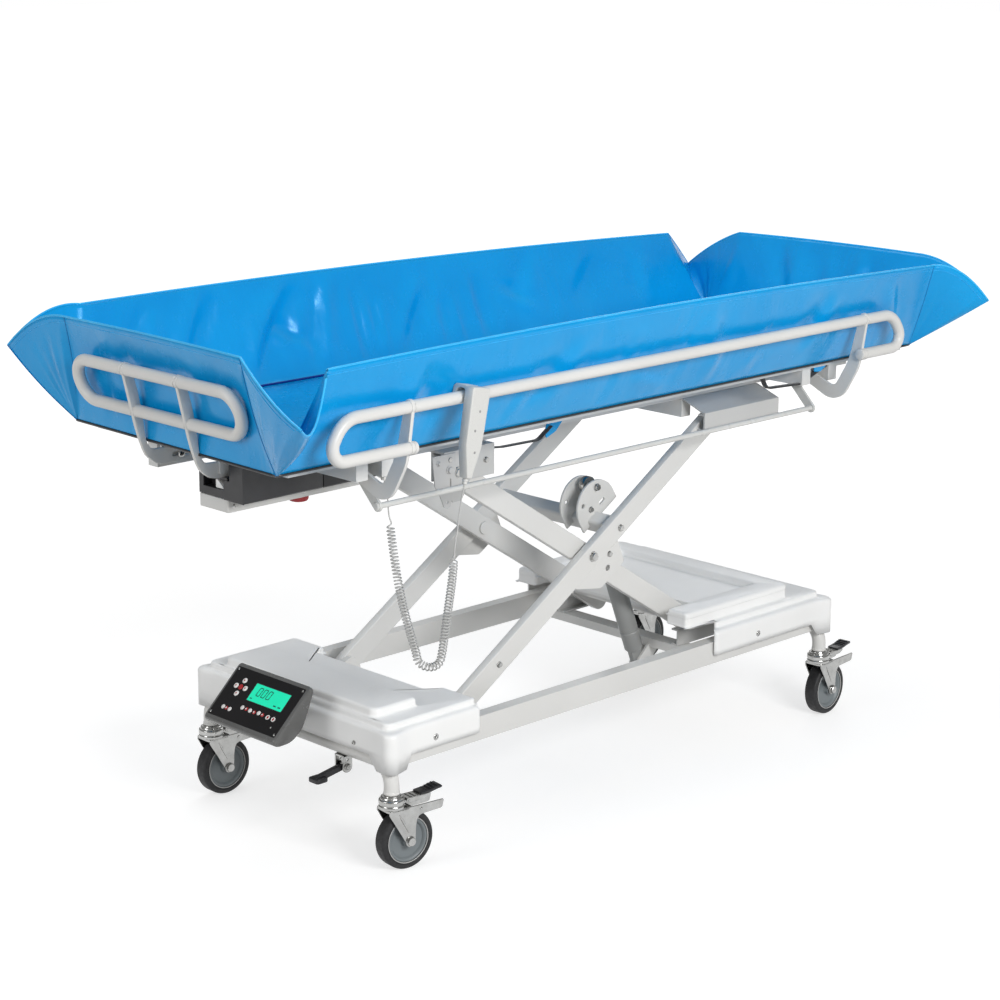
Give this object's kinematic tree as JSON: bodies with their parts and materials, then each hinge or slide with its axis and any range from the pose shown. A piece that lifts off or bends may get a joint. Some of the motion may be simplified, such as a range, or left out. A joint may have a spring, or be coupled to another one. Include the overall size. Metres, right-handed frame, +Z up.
{
  "type": "shower trolley",
  "caption": "Height-adjustable shower trolley: castors, scissor lift with an actuator, and a bed with a waterproof basket, folding side rails, sliding end rails and a handset.",
  "frame": {"origin": "centre of the footprint on the floor", "axes": "+X along the trolley away from the end with the display, +Z up"},
  "size_m": [2.1026, 0.964, 1.0849],
  "materials": {
    "white_paint": "white powder coat",
    "grey_paint": "light grey powder coat",
    "zinc": "bright zinc plate",
    "cover": "white moulded plastic",
    "tyre": "dark grey tread",
    "hub": "grey moulded plastic",
    "black": "black moulded plastic",
    "silver": "silver moulded plastic",
    "screen": "green lit screen",
    "red": "red moulded plastic",
    "vinyl": "blue wipe-clean vinyl",
    "handset": "light grey moulded plastic",
    "cord": "light grey cord sheath"
  },
  "bodies": {
    "base": {"base_end_tube_left": "white_paint", "base_end_tube_right": "white_paint", "base_side_tube_near": "white_paint", "base_side_tube_far": "white_paint", "base_hinge_channel": "white_paint", "base_track_near": "grey_paint", "base_track_far": "grey_paint", "base_cross_tube_middle": "white_paint", "base_cross_tube_right": "white_paint", "base_cover_left": "cover", "base_cover_right": "cover", "display_panel": "black", "display_screen": "screen", "display_housing": "silver", "foot_lever_bracket": "zinc"},
    "foot_lever": {"foot_lever": "black"},
    "castor_left_near": {"castor_fork_left_near": "zinc"},
    "wheel_left_near": {"castor_tyre_left_near": "tyre", "castor_hub_left_near": "hub"},
    "pedal_left_near": {"castor_pedal_left_near": "black"},
    "castor_left_far": {"castor_fork_left_far": "zinc"},
    "wheel_left_far": {"castor_tyre_left_far": "tyre", "castor_hub_left_far": "hub"},
    "pedal_left_far": {"castor_pedal_left_far": "black"},
    "castor_right_near": {"castor_fork_right_near": "zinc"},
    "wheel_right_near": {"castor_tyre_right_near": "tyre", "castor_hub_right_near": "hub"},
    "pedal_right_near": {"castor_pedal_right_near": "black"},
    "castor_right_far": {"castor_fork_right_far": "zinc"},
    "wheel_right_far": {"castor_tyre_right_far": "tyre", "castor_hub_right_far": "hub"},
    "pedal_right_far": {"castor_pedal_right_far": "black"},
    "outer_arms": {"scissor_outer_arm_near": "white_paint", "scissor_outer_arm_far": "white_paint", "scissor_outer_cross_tube": "white_paint"},
    "inner_arms": {"scissor_inner_arm_near": "white_paint", "scissor_inner_arm_far": "white_paint", "scissor_inner_cross_tube": "white_paint"},
    "actuator_body": {"actuator_body": "grey_paint"},
    "actuator_rod": {"actuator_rod": "zinc"},
    "bed": {"bed_track_near": "grey_paint", "bed_track_far": "grey_paint", "bed_cross_tube": "white_paint", "bed_bracket_near": "grey_paint", "bed_bracket_far": "grey_paint", "bed_frame": "white_paint", "control_box": "white_paint", "control_cover": "black", "basket": "vinyl", "curly_cord": "cord"},
    "stop_knob": {"stop_knob": "red"},
    "side_rail_near": {"side_rail_near": "white_paint", "handset": "handset"},
    "side_rail_far": {"side_rail_far": "white_paint"},
    "release_rod_near": {"release_rod_near": "zinc"},
    "release_rod_far": {"release_rod_far": "zinc"},
    "end_rail_left": {"end_rail_left": "white_paint"},
    "end_rail_right": {"end_rail_right": "white_paint"}
  },
  "joints": [
    {"name": "swivel_left_near", "type": "hinge", "parent": "base", "child": "castor_left_near", "pos_m": [-0.69139, -0.2927, 0.15], "axis": [0, 0, 1], "continuous": true},
    {"name": "roll_left_near", "type": "hinge", "parent": "castor_left_near", "child": "wheel_left_near", "pos_m": [-0.66165, -0.29667, 0.0625], "axis": [0.1323, 0.9912, 0], "continuous": true},
    {"name": "brake_left_near", "type": "hinge", "parent": "castor_left_near", "child": "pedal_left_near", "pos_m": [-0.66026, -0.29685, 0.148], "axis": [0.1323, 0.9912, 0], "range_deg": [0, 10]},
    {"name": "swivel_left_far", "type": "hinge", "parent": "base", "child": "castor_left_far", "pos_m": [-0.69139, 0.2927, 0.15], "axis": [0, 0, 1], "continuous": true},
    {"name": "roll_left_far", "type": "hinge", "parent": "castor_left_far", "child": "wheel_left_far", "pos_m": [-0.6614, 0.29191, 0.0625], "axis": [0.0262, 0.9997, 0], "continuous": true},
    {"name": "brake_left_far", "type": "hinge", "parent": "castor_left_far", "child": "pedal_left_far", "pos_m": [-0.66, 0.29188, 0.148], "axis": [0.0262, 0.9997, 0], "range_deg": [0, 10]},
    {"name": "swivel_right_near", "type": "hinge", "parent": "base", "child": "castor_right_near", "pos_m": [0.69139, -0.2927, 0.15], "axis": [0, 0, 1], "continuous": true},
    {"name": "roll_right_near", "type": "hinge", "parent": "castor_right_near", "child": "wheel_right_near", "pos_m": [0.72132, -0.29071, 0.0625], "axis": [-0.0663, 0.9978, 0], "continuous": true},
    {"name": "brake_right_near", "type": "hinge", "parent": "castor_right_near", "child": "pedal_right_near", "pos_m": [0.72272, -0.29062, 0.148], "axis": [-0.0663, 0.9978, 0], "range_deg": [0, 10]},
    {"name": "swivel_right_far", "type": "hinge", "parent": "base", "child": "castor_right_far", "pos_m": [0.69139, 0.2927, 0.15], "axis": [0, 0, 1], "continuous": true},
    {"name": "roll_right_far", "type": "hinge", "parent": "castor_right_far", "child": "wheel_right_far", "pos_m": [0.72137, 0.29375, 0.0625], "axis": [-0.0349, 0.9994, 0], "continuous": true},
    {"name": "brake_right_far", "type": "hinge", "parent": "castor_right_far", "child": "pedal_right_far", "pos_m": [0.72277, 0.2938, 0.148], "axis": [-0.0349, 0.9994, 0], "range_deg": [0, 10]},
    {"name": "foot_lever_press", "type": "hinge", "parent": "base", "child": "foot_lever", "pos_m": [-0.69139, -0.146, 0.186], "axis": [0, -1, 0], "range_deg": [0, 12], "stiffness_Nm_per_rad": 0.4, "springref_deg": -5.73},
    {"name": "lift", "type": "hinge", "parent": "base", "child": "outer_arms", "pos_m": [-0.4, 0, 0.257], "axis": [0, -1, 0], "range_deg": [-17, 3]},
    {"name": "lift_pivot", "type": "hinge", "parent": "outer_arms", "child": "inner_arms", "pos_m": [-0.00361, 0, 0.50953], "axis": [0, -1, 0], "range_deg": [-6.5, 34.5]},
    {"name": "lift_bed", "type": "hinge", "parent": "inner_arms", "child": "bed", "pos_m": [-0.4, 0, 0.76206], "axis": [0, -1, 0], "range_deg": [-17.5, 3.5]},
    {"name": "actuator_foot", "type": "hinge", "parent": "base", "child": "actuator_body", "pos_m": [0.27003, -0.09, 0.18], "axis": [0, -1, 0], "range_deg": [-5.2, 1]},
    {"name": "actuator_stroke", "type": "slide", "parent": "actuator_body", "child": "actuator_rod", "axis": [-0.372, 0, 0.9283], "range_m": [-0.182, 0.034]},
    {"name": "stop_press", "type": "slide", "parent": "bed", "child": "stop_knob", "axis": [0, 0, 1], "range_m": [0, 0.005], "stiffness_N_per_m": 600, "springref_m": -0.003},
    {"name": "rail_swing_near", "type": "hinge", "parent": "bed", "child": "side_rail_near", "pos_m": [0, -0.225, 0.84596], "axis": [1, 0, 0], "range_deg": [0, 100], "deforming": ["curly_cord"]},
    {"name": "rail_swing_far", "type": "hinge", "parent": "bed", "child": "side_rail_far", "pos_m": [0, 0.225, 0.84596], "axis": [-1, 0, 0], "range_deg": [0, 100]},
    {"name": "release_near", "type": "hinge", "parent": "bed", "child": "release_rod_near", "pos_m": [0, -0.225, 0.84596], "axis": [-1, 0, 0], "range_deg": [0, 20]},
    {"name": "release_far", "type": "hinge", "parent": "bed", "child": "release_rod_far", "pos_m": [0, 0.225, 0.84596], "axis": [1, 0, 0], "range_deg": [0, 20]},
    {"name": "end_slide_left", "type": "slide", "parent": "bed", "child": "end_rail_left", "axis": [-1, 0, 0], "range_m": [0, 0.028]},
    {"name": "end_slide_right", "type": "slide", "parent": "bed", "child": "end_rail_right", "axis": [1, 0, 0], "range_m": [0, 0.028]}
  ],
  "couplings": [
    {"joint": "lift_pivot", "follows": "lift", "ratio": -2},
    {"joint": "lift_bed", "follows": "lift", "ratio": 1},
    {"joint": "actuator_foot", "follows": "lift", "ratio": 0.292},
    {"joint": "actuator_stroke", "follows": "lift", "m_per_rad": 0.6039}
  ]
}
